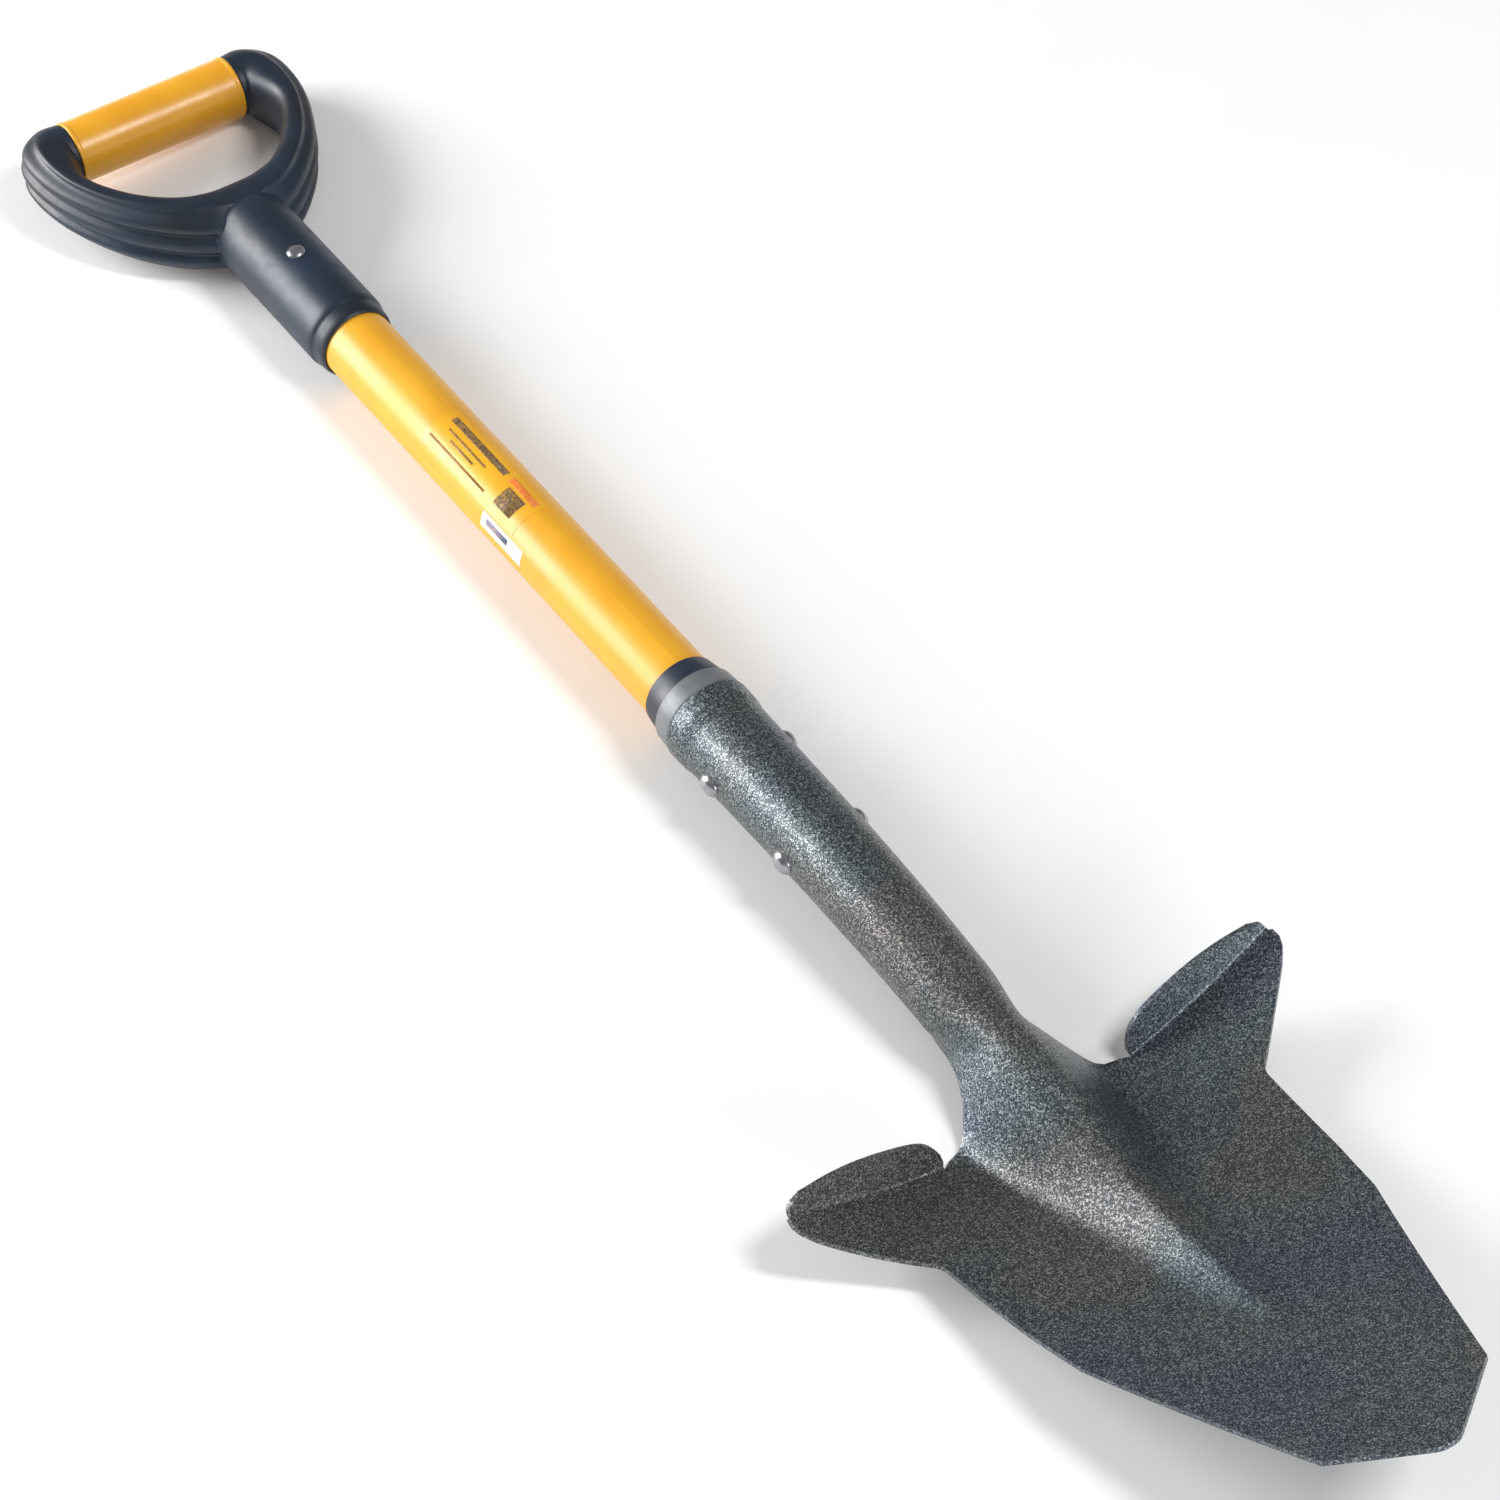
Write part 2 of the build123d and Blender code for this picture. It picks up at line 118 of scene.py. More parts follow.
def hermite(t, start, end, start_slope, end_slope):
    """Cubic from start to end over t = 0..1, leaving and arriving at the given slopes."""
    return ((2 * t**3 - 3 * t**2 + 1) * start + (t**3 - 2 * t**2 + t) * start_slope
            + (-2 * t**3 + 3 * t**2) * end + (t**3 - t**2) * end_slope)


def smooth(a, b, x):
    """0 below a, 1 above b, with an eased step between."""
    t = min(1.0, max(0.0, (x - a) / (b - a)))
    return t * t * (3 - 2 * t)


def track(x, knots):
    """Smooth curve through (x, value) knots, flat before the first and after the last."""
    xs = [k[0] for k in knots]
    vs = [k[1] for k in knots]
    if x <= xs[0]:
        return vs[0]
    if x >= xs[-1]:
        return vs[-1]
    i = max(k for k in range(len(xs)) if xs[k] <= x)
    first = max(i - 1, 0)
    last = min(i + 2, len(xs) - 1)
    span = xs[i + 1] - xs[i]
    before = (vs[i + 1] - vs[first]) / (xs[i + 1] - xs[first])
    after = (vs[last] - vs[i]) / (xs[last] - xs[i])
    return hermite((x - xs[i]) / span, vs[i], vs[i + 1], span * before, span * after)


def evenly(points, spacing):
    """Points about one spacing apart along a polyline, keeping its corners."""
    result = [Vector(points[0])]
    for a, b in zip(points, points[1:]):
        a, b = Vector(a), Vector(b)
        count = max(1, round((b - a).length / spacing))
        result += [a.lerp(b, i / count) for i in range(1, count + 1)]
    return result


def rounded(points, radii):
    """A polyline with arcs at its inner corners; radii maps the number of a corner to its radius."""
    result = [Vector(points[0])]
    for i in range(1, len(points) - 1):
        before, corner, after = (Vector(p) for p in points[i - 1:i + 2])
        radius = radii.get(i, 0)
        if not radius:
            result.append(corner)
            continue
        come = (before - corner).normalized()
        leave = (after - corner).normalized()
        half = come.angle(leave) / 2
        reach = radius / tan(half)
        start, end = corner + come * reach, corner + leave * reach
        for t in steps(0, 1, CORNER_STEPS):
            result.append(start * (1 - t)**2 + corner * (2 * t * (1 - t)) + end * t**2)
    result.append(Vector(points[-1]))
    return result


# ---------------------------------------------------------------- materials
FLECK_SCALE = 1900         # cells of the fleck pattern to a metre
TUBE_YELLOW = ((0.3, (0.78, 0.37, 0.014)), (0.7, (0.86, 0.44, 0.020)))


class Finish:
    """A procedural material: its Principled shader and short calls for the nodes that feed it."""

    def __init__(self, name, **constants):
        self.material = bpy.data.materials.new(name)
        self.material.use_nodes = True
        self.nodes = self.material.node_tree.nodes
        self.links = self.material.node_tree.links
        self.shader = self.nodes["Principled BSDF"]
        self.place = self.nodes.new("ShaderNodeTexCoord").outputs["Object"]
        for key, value in constants.items():
            self.shader.inputs[key.replace("_", " ")].default_value = value

    def stretched(self, stretch):
        mapping = self.nodes.new("ShaderNodeMapping")
        mapping.inputs["Scale"].default_value = stretch
        self.links.new(self.place, mapping.inputs["Vector"])
        return mapping.outputs["Vector"]

    def noise(self, scale, detail=2.0, roughness=0.5, stretch=None):
        node = self.nodes.new("ShaderNodeTexNoise")
        node.inputs["Scale"].default_value = scale
        node.inputs["Detail"].default_value = detail
        node.inputs["Roughness"].default_value = roughness
        self.links.new(self.stretched(stretch) if stretch else self.place, node.inputs["Vector"])
        return node.outputs["Fac"]

    def cells(self, scale, output="Color"):
        node = self.nodes.new("ShaderNodeTexVoronoi")
        node.inputs["Scale"].default_value = scale
        self.links.new(self.place, node.inputs["Vector"])
        return node.outputs[output]

    def ramp(self, factor, *stops):
        """A colour ramp through stops, each a position and a grey or a colour."""
        node = self.nodes.new("ShaderNodeValToRGB")
        elements = node.color_ramp.elements
        while len(elements) < len(stops):
            elements.new(0.5)
        for element, (position, colour) in zip(elements, stops):
            element.position = position
            element.color = (*colour, 1) if isinstance(colour, tuple) else (colour, colour, colour, 1)
        self.links.new(factor, node.inputs["Fac"])
        return node.outputs["Color"]

    def blend(self, factor, a, b, mode="MIX"):
        """a and b are colours or outputs; factor is a number or an output."""
        node = self.nodes.new("ShaderNodeMix")
        node.data_type = "RGBA"
        node.blend_type = mode
        for socket, value in ((node.inputs["Factor"], factor), (node.inputs[6], a), (node.inputs[7], b)):
            if isinstance(value, bpy.types.NodeSocket):
                self.links.new(value, socket)
            else:
                socket.default_value = (*value, 1) if isinstance(value, tuple) else value
        return node.outputs[2]

    def bump(self, height, strength, distance, normal=None):
        node = self.nodes.new("ShaderNodeBump")
        node.inputs["Strength"].default_value = strength
        node.inputs["Distance"].default_value = distance
        self.links.new(height, node.inputs["Height"])
        if normal:
            self.links.new(normal, node.inputs["Normal"])
        return node.outputs["Normal"]

    def feed(self, **sources):
        for key, value in sources.items():
            self.links.new(value, self.shader.inputs[key.replace("_", " ")])
        return self.material


def powder_coated_steel():
    """Blue-black coat full of fine silver flecks, with an orange-peel skin; large random patches tint the
    coat and its flecks greenish and beige as painted reflection of the surroundings.
    """
    f = Finish("powder_coated_steel", Metallic=0.8, Coat_Weight=0.3, Coat_Roughness=0.16)
    # painted reflection: these broad patches shift the coat from its own blue-black towards green and beige,
    # standing in for the surroundings mirrored in the steel
    painted_reflection_patches = f.noise(10, 2)
    tint = f.ramp(painted_reflection_patches, (0.36, (0.010, 0.015, 0.036)), (0.5, (0.018, 0.030, 0.036)),
                  (0.64, (0.042, 0.036, 0.033)))
    # the silver flecks take the same painted reflection tints, greenish and beige
    silver = f.ramp(painted_reflection_patches, (0.36, (0.38, 0.42, 0.49)), (0.5, (0.42, 0.48, 0.48)),
                    (0.64, (0.50, 0.465, 0.44)))
    fleck = f.ramp(f.cells(FLECK_SCALE), (0.55, 0.0), (0.95, 1.0))
    grain = f.ramp(f.noise(1500, 2, 0.6), (0.42, 0.0), (0.68, 0.8))
    speckled = f.blend(grain, tint, (0.13, 0.145, 0.165))
    colour = f.blend(fleck, speckled, silver)
    roughness = f.ramp(fleck, (0.0, 0.48), (1.0, 0.40))
    skin = f.bump(f.noise(420, 2), 0.2, 0.0004)
    normal = f.bump(f.cells(FLECK_SCALE, "Distance"), 0.35, 0.0003, skin)
    return f.feed(Base_Color=colour, Roughness=roughness, Normal=normal)


def grey_ring_steel():
    f = Finish("grey_ring_steel", Metallic=0.25)
    colour = f.ramp(f.noise(60, 3), (0.35, (0.145, 0.155, 0.165)), (0.65, (0.20, 0.21, 0.22)))
    roughness = f.ramp(f.noise(250, 3), (0.3, 0.38), (0.7, 0.52))
    return f.feed(Base_Color=colour, Roughness=roughness, Normal=f.bump(f.noise(900, 2), 0.12, 0.0002))


def dark_moulding():
    """Navy-black moulded plastic with a fine-grained, slightly scuffed skin; random patches of bluer navy
    are painted highlight.
    """
    f = Finish("dark_moulding")
    # the darker end of this ramp is the plastic's own navy-black; the bluer end is painted bluish highlight
    colour = f.ramp(f.noise(22, 3), (0.35, (0.007, 0.011, 0.018)), (0.65, (0.010, 0.023, 0.048)))
    roughness = f.ramp(f.noise(90, 4, 0.6), (0.3, 0.36), (0.7, 0.5))
    return f.feed(Base_Color=colour, Roughness=roughness, Normal=f.bump(f.noise(1300, 2), 0.16, 0.0002))


def yellow_fibreglass():
    """Glossy pultruded tube: fine lengthwise fibres under a clear resin."""
    f = Finish("yellow_fibreglass", Coat_Weight=0.15, Coat_Roughness=0.2)
    fibres = f.noise(700, 3, 0.6, (0.02, 1, 1))
    mottle = f.noise(30, 3)
    plain = f.ramp(mottle, *TUBE_YELLOW)
    streaks = f.ramp(fibres, (0.3, 0.0), (0.75, 0.3))
    colour = f.blend(streaks, plain, (0.68, 0.27, 0.010))
    roughness = f.ramp(mottle, (0.3, 0.38), (0.7, 0.5))
    return f.feed(Base_Color=colour, Roughness=roughness, Normal=f.bump(fibres, 0.06, 0.0002))


def yellow_grip():
    """Smooth moulded sleeve with a satin sheen."""
    f = Finish("yellow_grip", Coat_Weight=0.25, Coat_Roughness=0.25)
    colour = f.ramp(f.noise(40, 3), (0.3, (0.77, 0.34, 0.012)), (0.7, (0.85, 0.41, 0.020)))
    roughness = f.ramp(f.noise(120, 3), (0.3, 0.3), (0.7, 0.42))
    return f.feed(Base_Color=colour, Roughness=roughness, Normal=f.bump(f.noise(1100, 2), 0.1, 0.0002))


def zinc_rivet():
    f = Finish("zinc_rivet", Metallic=0.9)
    colour = f.ramp(f.noise(300, 3), (0.3, (0.28, 0.29, 0.31)), (0.7, (0.44, 0.45, 0.47)))
    roughness = f.ramp(f.noise(500, 3), (0.3, 0.2), (0.7, 0.36))
    return f.feed(Base_Color=colour, Roughness=roughness, Normal=f.bump(f.noise(500, 3), 0.15, 0.0002))


def hidden_plug():
    f = Finish("hidden_plug")
    colour = f.ramp(f.noise(80, 3), (0.3, (0.35, 0.24, 0.13)), (0.7, (0.48, 0.35, 0.2)))
    return f.feed(Base_Color=colour, Roughness=f.ramp(f.noise(300, 3), (0.3, 0.55), (0.7, 0.75)))


def hidden_bar_steel():
    f = Finish("hidden_bar_steel", Metallic=1.0)
    colour = f.ramp(f.noise(80, 3), (0.3, (0.4, 0.4, 0.41)), (0.7, (0.55, 0.55, 0.56)))
    return f.feed(Base_Color=colour, Roughness=f.ramp(f.noise(300, 3), (0.3, 0.3), (0.7, 0.5)))


def printed_label():
    """Clear printed film over the yellow tube, which shows through it."""
    f = Finish("printed_label", Coat_Weight=0.15, Coat_Roughness=0.15)
    colour = f.ramp(f.noise(30, 3), *TUBE_YELLOW)
    return f.feed(Base_Color=colour, Roughness=f.ramp(f.noise(200, 3), (0.3, 0.32), (0.7, 0.44)))


def paper_sticker():
    f = Finish("paper_sticker")
    colour = f.ramp(f.noise(300, 3), (0.3, (0.72, 0.74, 0.78)), (0.7, (0.84, 0.85, 0.87)))
    return f.feed(Base_Color=colour, Roughness=f.ramp(f.noise(400, 3), (0.3, 0.4), (0.7, 0.6)))


def ink(name, colour):
    """Matt printing ink that has worn a little thin."""
    f = Finish(name)
    worn = f.ramp(f.noise(700, 3, 0.6), (0.35, 0.0), (0.8, 0.55))
    tint = f.blend(worn, colour, (0.85, 0.45, 0.05))
    return f.feed(Base_Color=tint, Roughness=f.ramp(f.noise(500, 3), (0.3, 0.45), (0.7, 0.65)))


finishes = {make.__name__: make() for make in (
    powder_coated_steel, grey_ring_steel, dark_moulding, yellow_fibreglass, yellow_grip, zinc_rivet,
    hidden_plug, hidden_bar_steel, printed_label, paper_sticker)}

# ---------------------------------------------------------------- making pieces
ROUND_SEGMENTS = 128       # faces round a large turned piece
SMALL_EDGE = 0.3           # width of the rounding on a moulded or turned edge
SHARP_ANGLE = 40           # shading breaks at corners sharper than this, in degrees


def add_piece(name, points, faces, finish, slot, replaces=()):
    """A piece from points in the tool's frame, riding on the one body."""
    mesh = bpy.data.meshes.new(name)
    mesh.from_pydata([to_world(*p) for p in points], [], faces)
    mesh.materials.append(finish)
    mesh.shade_smooth()
    piece = bpy.data.objects.new(name, mesh)
    bpy.context.scene.collection.objects.link(piece)
    outward = bmesh.new()
    outward.from_mesh(mesh)
    bmesh.ops.recalc_face_normals(outward, faces=outward.faces)
    outward.to_mesh(mesh)
    outward.free()
    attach(piece, "root")
    if replaces:
        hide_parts(*replaces)
    return piece


def soften_edges(piece, width, angle=35):
    """Small rounded edges, with shading that keeps the broad faces clean."""
    bevel = piece.modifiers.new("edges", "BEVEL")
    bevel.width = width * MM
    bevel.segments = 2
    bevel.limit_method = "ANGLE"
    bevel.angle_limit = radians(angle)
    piece.modifiers.new("shading", "WEIGHTED_NORMAL").keep_sharp = True


def crisp_edges(piece):
    """Shading that breaks at the piece's own corners."""
    piece.data.set_sharp_from_angle(angle=radians(SHARP_ANGLE))


def turned(profile, centre, axis, start, segments):
    """Points and faces of a closed (distance along the axis, radius) profile turned about the axis."""
    centre, axis, start = Vector(centre), Vector(axis), Vector(start)
    other = axis.cross(start)
    count = len(profile)
    points = []
    for i in range(segments):
        angle = 2 * pi * i / segments
        out = start * cos(angle) + other * sin(angle)
        points += [centre + axis * a + out * r for a, r in profile]
    faces = []
    for i in range(segments):
        for k in range(count):
            a, b = i * count, (i + 1) % segments * count
            faces.append((a + k, a + (k + 1) % count, b + (k + 1) % count, b + k))
    return points, faces


# ---------------------------------------------------------------- blade head
# curves along x: height of the crest, half width of the frog, fall of the neck, the neck's edge
CREST = ((340, 10.5), (360, 8.2), (380, 5.5), (400, 2.4), (420, -1.3), (440, -3.6), (460, -3.4),
         (480, -1.2), (500, 2.0), (520, 5.6), (540, 9.8), (560, 14.8))
FROG_HALF_WIDTH = ((383, 40.0), (440, 31.0), (480, 25.0), (520, 18.0), (562, 10.0))
FROG_PEAK = 1.35           # power of the frog's section below the neck: 2 is round, 1 is a sharp ridge
FROG_RIDGE_X = (390, 470)  # where the round section turns into the ridge
FROG_END_X = (540, 562)    # where the frog runs out into the blade
NECK_DROP = ((240, 0.0), (260, -1.0), (280, -2.6), (300, -4.8), (320, -7.4), (340, -10.3),
             (360, -13.4), (390, -18.0))
EDGE_Y = ((250, 0.8), (275, 3.0), (300, 7.5), (320, 11.5), (340, 15.5), (355, 20.0), (362, 23.0),
          (367, 25.5), (372, 29.2), (377, 33.5), (380, 37.5), (383, 46.0), (388, 52.0))
HEEL_HALF_WIDTH = 46.0     # where the neck's edge meets the heel line
SEAM_OPEN_X = (250, 350)   # where the socket's closed section opens at the back
FLARE_X = (325, 376)       # where the neck spreads into the blade
OPEN_PULL = 0.6            # the open section's flatness and depth, as shares of the closed one's
OPEN_DEPTH = 0.85
QUARTER_SLOPE = 1.6568     # end slope of a cubic that follows a quarter of a circle of radius 1
BEND_START = (383.6, 49.7)
BEND_END = (380.5, 125.2)
CORNER = (626.8, 41.3)     # where the side of the blade turns in to the point
SIDE = ((380.5, 125.2), (383.6, 126.8), (387.5, 127.2), (391.5, 125.8), (397.5, 121), (412, 105.6),
        (432.5, 84), (460, 81.8), (488, 79.2), (517, 75.2), CORNER)
SIDE_ROUNDING = {5: 20, 6: 9, 9: 25}
POINT_RADIUS = 12.0
POINT_START_X = 545        # where the rows of the mesh begin to bend towards the point
# tread outline: distance along the bend from its inner end, and height above the bend
TREAD_TOP = ((2.5, 8), (7, 12.8), (14, 16.2), (28, 17.8), (45, 17.2), (60, 14), (74, 8.6))
TREAD_INNER_END = ((0, 0), (0.4, 4), (2.5, 8))
TREAD_OUTER_END = ((79.6, 0), (78.6, 4.2), (74, 8.6))
TREAD_TURN = 72.0          # degrees that the tread is turned up from the wing
WING_LEAN = 0.013          # lean of the wing's normal towards the tip, along the bend
BEND_REACH = 2.0           # how far each side of the bend its rounding runs
ROOT_LAG = 1.2             # least gap between the blade's first row and the next ones
BEAD = 0.9                 # how far the rolled bead stands out at the socket's mouth
BEAD_END_X = (145, 151)
STEEL_EDGE = 0.55          # width of the rounding on the steel's edges
NECK_COLUMNS = 28          # columns from the crest to the edge
WING_COLUMNS = 30          # columns along a tread
ROW_SPACING = 2.6
TREAD_ROWS = 7


def plate_z(x, y):
    """Height of the blade's mid sheet without the frog."""
    u = x - HEEL_X
    return BLADE_Z + BLADE_SLOPE * u + BLADE_CURVE * u * u + DISH * exp(-u / DISH_FADE) * y * y


def blade_z(x, y):
    """Height of the blade's mid sheet with the frog, the raised rib that carries on the neck."""
    rise = max(0.0, track(x, CREST) - plate_z(x, 0)) * (1 - smooth(*FROG_END_X, x))
    u = min(1.0, abs(y) / track(x, FROG_HALF_WIDTH))
    roundness = mix(2.0, FROG_PEAK, smooth(*FROG_RIDGE_X, x))
    return plate_z(x, y) + rise * (1 - u**roundness)**2


def neck_point(x, s):
    """Middle of the steel at station x, from the crest (s = 0) to the edge (s = 1)."""
    r = MOUTH_R - SOCKET_TAPER * (x - MOUTH_X) + BEAD * (1 - smooth(*BEAD_END_X, x))
    drop = track(x, NECK_DROP)
    edge_y = track(x, EDGE_Y)
    opening = smooth(*SEAM_OPEN_X, x)
    flare = smooth(*FLARE_X, x)
    lean = radians(mix(180, 90, opening))
    pull = QUARTER_SLOPE * r * mix(1.0, OPEN_PULL, opening)
    if s < 0.5:
        y, z = r * sin(s * pi), drop + r * cos(s * pi)
    else:
        edge_z = drop - r * mix(1.0, OPEN_DEPTH, opening)
        y = hermite(2 * s - 1, r, edge_y, 0, pull * cos(lean))
        z = hermite(2 * s - 1, drop, edge_z, -pull, -pull * sin(lean))
    return Vector((x, mix(y, edge_y * s, flare), mix(z, blade_z(x, edge_y * s), flare)))


def point_bulge(y):
    """How far the blade's point stands out past the corners at distance y from the middle."""
    slope = (TIP_X - CORNER[0]) / CORNER[1]
    turn = atan(slope)
    full = TIP_X - CORNER[0]
    if y > POINT_RADIUS * sin(turn):
        return full - slope * y
    return full - POINT_RADIUS / cos(turn) + sqrt(POINT_RADIUS**2 - y * y)


def bend_point(share):
    """A point of the line where the +y side's tread is bent up from the wing."""
    x = mix(BEND_START[0], BEND_END[0], share)
    y = mix(BEND_START[1], BEND_END[1], share)
    return Vector((x, y, plate_z(x, y)))


def tread_rise():
    """The direction up the tread on the +y side."""
    middle_y = bend_point(0.5).y
    wing_normal = Vector((WING_LEAN, -2 * DISH * middle_y, 1)).normalized()
    up_wing = (bend_point(1) - bend_point(0)).cross(wing_normal).normalized()
    if up_wing.x > 0:
        up_wing.negate()
    turn = radians(TREAD_TURN)
    return up_wing * cos(turn) + wing_normal * sin(turn)


def along_polyline(points, t):
    """The point at share t of a polyline's length."""
    points = [Vector(p) for p in points]
    lengths = [(b - a).length for a, b in zip(points, points[1:])]
    left = t * sum(lengths)
    for a, b, length in zip(points, points[1:], lengths):
        if left <= length:
            return a.lerp(b, left / length)
        left -= length
    return points[-1]


def tread_outline_point(u, v):
    """Distance along the bend and height of the point (u, v) of the tread, v running up from the bend."""
    length = TREAD_OUTER_END[0][0]
    bottom = Vector((length * u, 0))
    top_x = mix(TREAD_TOP[0][0], TREAD_TOP[-1][0], u)
    top = Vector((top_x, track(top_x, TREAD_TOP)))
    inner = along_polyline(TREAD_INNER_END, v)
    outer = along_polyline(TREAD_OUTER_END, v)
    corners = (Vector(TREAD_INNER_END[0]) * ((1 - u) * (1 - v)) + Vector(TREAD_OUTER_END[0]) * (u * (1 - v))
               + Vector(TREAD_TOP[0]) * ((1 - u) * v) + Vector(TREAD_TOP[-1]) * (u * v))
    return bottom * (1 - v) + top * v + inner * (1 - u) + outer * u - corners


def blade_head_sheet():
    """The middle of the steel as one sheet: socket, neck, blade and both foot treads."""
    points, faces = [], []

    def add(point):
        points.append(point)
        return len(points) - 1

    def bridge(row, following):
        for a, b, c, d in zip(row, row[1:], following[1:], following):
            faces.append((a, b, c, d))

    # socket and neck, edge to edge over the crest
    shares = steps(-1, 1, 2 * NECK_COLUMNS)
    rows = []
    for x in evenly(((MOUTH_X + 0.2, 0), (HEEL_X, 0)), ROW_SPACING):
        row = []
        for s in shares:
            p = neck_point(x.x, abs(s))
            row.append(add((p.x, p.y if s > 0 else -p.y, p.z)))
        rows.append(row)
    for row, following in zip(rows, rows[1:]):
        bridge(row, following)

    # blade, whose first row carries the neck's last row and runs on under the bends of the treads
    wing = steps(BEND_START[1], BEND_END[1], WING_COLUMNS)
    heel_ys = [HEEL_HALF_WIDTH * s for s in shares if s > 0] + wing

    def first_x(y):
        if y <= HEEL_HALF_WIDTH:
            return HEEL_X
        share = (y - BEND_START[1]) / (BEND_END[1] - BEND_START[1])
        return mix(BEND_START[0], BEND_END[0], max(0.0, share)) + BEND_REACH

    def wing_points(side, xs_ys):
        return [add((x, side * y, blade_z(x, y))) for x, y in xs_ys]

    outer = [(first_x(y), y) for y in wing]
    left = wing_points(-1, outer)
    right = wing_points(1, outer)
    row = left[::-1] + rows[-1] + right
    side_points = evenly(rounded(SIDE, SIDE_ROUNDING), ROW_SPACING)[1:]
    side_points = [p for p in side_points if p.x > first_x(wing[-1]) + 0.5]
    for p in side_points:
        share_out = smooth(POINT_START_X, CORNER[0], p.x)
        following = []
        for y in [0.0] + heel_ys:
            spread = y / BEND_END[1]
            bulge = point_bulge(CORNER[1] * spread) * share_out
            lag = max(0.0, first_x(y) + ROOT_LAG - p.x)
            following.append((p.x + bulge + lag, p.y * spread))
        ids_right = wing_points(1, following)
        ids_left = wing_points(-1, following[1:])
        new_row = ids_left[::-1] + ids_right
        bridge(row, new_row)
        row = new_row

    # foot treads, turned forward along the heel line
    rise = tread_rise()
    length = TREAD_OUTER_END[0][0]
    for side, root in ((1, right), (-1, left)):

        def tread_point(u, v):
            reach, height = tread_outline_point(u, v)
            p = bend_point(reach / length) + rise * height
            return (p.x, side * p.y, p.z)

        us = steps(0, 1, WING_COLUMNS)
        rows = [root]
        lowest = []
        for u in us:
            tall = (tread_outline_point(u, 1) - tread_outline_point(u, 0)).length
            lowest.append(BEND_REACH / tall)
        first = [tread_point(u, v) for u, v in zip(us, lowest)]
        for t in (0.25, 0.5, 0.75):
            row = []
            for i, u in enumerate(us):
                start = Vector(points[root[i]])
                corner = Vector(tread_point(u, 0))
                row.append(add(start * (1 - t)**2 + corner * (2 * t * (1 - t)) + Vector(first[i]) * t**2))
            rows.append(row)
        rows.append([add(p) for p in first])
        for k in range(1, TREAD_ROWS + 1):
            rows.append([add(tread_point(u, mix(v, 1, k / TREAD_ROWS))) for u, v in zip(us, lowest)])
        for row, following in zip(rows, rows[1:]):
            bridge(row, following)
    return points, faces


def make_blade_head():
    points, faces = blade_head_sheet()
    piece = add_piece("blade_head_steel", points, faces, finishes["powder_coated_steel"],
                      "powder_coated_steel", ["blade_head"])
    solid = piece.modifiers.new("thickness", "SOLIDIFY")
    solid.thickness = SHEET * MM
    solid.offset = 0
    soften_edges(piece, STEEL_EDGE)


# ---------------------------------------------------------------- grip
# stations round one arm of the yoke: x, y, heading in degrees from +x, half width, half depth
ARM = ((GRIP_X, GRIP_HALF_LENGTH, 90, GRIP_R, GRIP_R), (-371.5, 54.5, 72, 16.6, GRIP_R),
       (-362.5, 61.5, 30, 14.6, 16.6), (-336, 62.3, -8, 9.2, 17.2), (-308.7, 50.4, -31, 9.6, 18.6),
       (-289, 33.2, -50, 11.0, 20.0), (-279, 16, -70, 14.2, 20.6), (-276, 0, -90, 16.6, 20.6))
GROOVES = (-0.84, -0.28, 0.28, 0.84)  # places of the grooves, as shares of the arm's half depth
GROOVE_DEPTH = 3.4
GROOVE_WIDTH = 0.125
GROOVE_START = (0.14, 0.3)    # shares of the way from the grip over which the grooves deepen
SQUARE_START = (0.05, 0.35)   # and over which the round section turns squarer
SQUARENESS = (2.0, 2.7)       # power of the section's outline: 2 is an ellipse
ARM_STEPS = 84
ARM_SEGMENTS = 112


def arm_station(t):
    """x, y, heading, half width and half depth at share t of the way from the grip to the shank."""
    place = t * (len(ARM) - 1)
    return [track(place, [(i, station[k]) for i, station in enumerate(ARM)]) for k in range(5)]


def arm_mesh(side):
    points, faces = [], []
    for t in steps(0, 1, ARM_STEPS):
        x, y, heading, half_width, half_depth = arm_station(t)
        outward = Vector((-sin(radians(heading)), cos(radians(heading)), 0))
        squareness = 2 / mix(*SQUARENESS, smooth(*SQUARE_START, t))
        depth = GROOVE_DEPTH * smooth(*GROOVE_START, t)
        for i in range(ARM_SEGMENTS):
            angle = 2 * pi * i / ARM_SEGMENTS
            c, s = cos(angle), sin(angle)
            out = half_width * (abs(c)**squareness) * (1 if c > 0 else -1)
            up = half_depth * (abs(s)**squareness) * (1 if s > 0 else -1)
            if c > 0:
                share = up / half_depth
                dent = sum(exp(-((share - g) / GROOVE_WIDTH)**2) for g in GROOVES)
                out -= depth * dent
            p = Vector((x, y, 0)) + outward * out
            points.append((p.x, side * p.y, up))
    for k in range(ARM_STEPS):
        for i in range(ARM_SEGMENTS):
            a, b = k * ARM_SEGMENTS, (k + 1) * ARM_SEGMENTS
            j = (i + 1) % ARM_SEGMENTS
            faces.append((a + i, a + j, b + j, b + i))
    faces.append(tuple(range(ARM_SEGMENTS)))
    faces.append(tuple(range(ARM_STEPS * ARM_SEGMENTS, (ARM_STEPS + 1) * ARM_SEGMENTS)))
    return points, faces


def twisted(points):
    """The points turned about the shaft as the D-grip is."""
    turn = radians(GRIP_TWIST)
    return [(x, y * cos(turn) - z * sin(turn), y * sin(turn) + z * cos(turn)) for x, y, z in points]


def join(*meshes):
    """One list of points and faces out of several."""
    points, faces = [], []
    for more_points, more_faces in meshes:
        faces += [tuple(i + len(points) for i in face) for face in more_faces]
        points += more_points
    return points, faces


